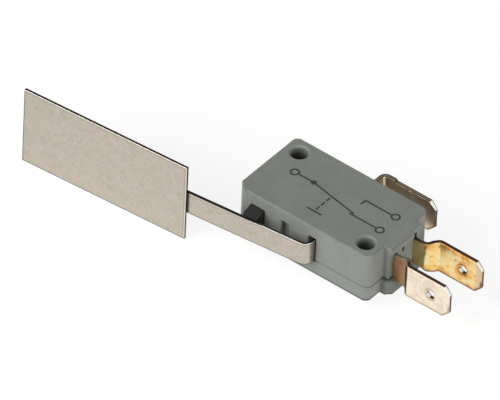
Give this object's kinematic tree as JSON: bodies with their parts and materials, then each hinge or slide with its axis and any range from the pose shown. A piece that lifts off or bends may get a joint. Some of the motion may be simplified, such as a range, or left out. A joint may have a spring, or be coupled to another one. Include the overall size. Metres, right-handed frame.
{
  "type": "snap-action micro switch",
  "caption": "Snap-action micro switch with a moulded body, sprung plunger, long bent strip lever carrying a flat rectangular flag paddle, and push-on tab terminals.",
  "frame": {"origin": "midway between the two mounting holes, on the outer face of the cover", "axes": "+X along the body towards the end terminals, -Y towards the plunger and lever, +Z through the thickness from the cover to the large face of the case"},
  "size_m": [0.0812, 0.0273, 0.0156],
  "materials": {
    "body_plastic": "fine moulded matte, grey-green",
    "plunger_plastic": "black moulded satin",
    "lever_steel": "rolled stainless strip, fine speckle",
    "tinned_brass": "tin-plated brass, pale",
    "brass": "bare golden brass with spots",
    "contact_silver": "silver alloy, satin",
    "copper_alloy": "copper alloy, rolled",
    "spring_steel": "bright spring steel"
  },
  "bodies": {
    "body": {"case": "body_plastic", "cover": "body_plastic", "nc_terminal": "tinned_brass", "no_terminal": "brass", "com_terminal": "tinned_brass", "nc_contact": "contact_silver", "no_contact": "contact_silver", "anchor_bracket": "copper_alloy", "anchor_rivets": "copper_alloy"},
    "lever": {"lever": "lever_steel", "paddle": "lever_steel"},
    "plunger": {"plunger": "plunger_plastic"},
    "rocker": {"rocker": "spring_steel"},
    "contact_arm": {"contact_arm": "copper_alloy", "moving_contact": "contact_silver"},
    "snap_spring": {"snap_spring": "spring_steel"}
  },
  "joints": [
    {"name": "lever_swing", "type": "hinge", "parent": "body", "child": "lever", "pos_m": [0.00255, -0.0066, 0.00495], "axis": [0, 0, -1], "range_deg": [0, 5.5], "stiffness_Nm_per_rad": 0.05, "springref_deg": -4.58},
    {"name": "plunger_slide", "type": "slide", "parent": "body", "child": "plunger", "axis": [0, 1, 0], "range_m": [0, 0.00115]},
    {"name": "rocker_swing", "type": "hinge", "parent": "body", "child": "rocker", "pos_m": [-0.0016, -0.002, 0.00495], "axis": [0, 0, -1], "range_deg": [0, 8.5]},
    {"name": "contact_swing", "type": "hinge", "parent": "body", "child": "contact_arm", "pos_m": [-0.00115, 0.00015, 0.00495], "axis": [0, 0, 1], "range_deg": [0, 2.45]},
    {"name": "spring_swing", "type": "hinge", "parent": "contact_arm", "child": "snap_spring", "pos_m": [0.0067, 0.00015, 0.00495], "axis": [0, 0, -1], "range_deg": [0, 4.55]}
  ],
  "couplings": [
    {"joint": "plunger_slide", "follows": "lever_swing", "m_per_rad": 0.0119},
    {"joint": "rocker_swing", "follows": "lever_swing", "ratio": 1.5355},
    {"joint": "contact_swing", "follows": "lever_swing", "ratio": 0.4433},
    {"joint": "spring_swing", "follows": "lever_swing", "ratio": 0.8189}
  ]
}
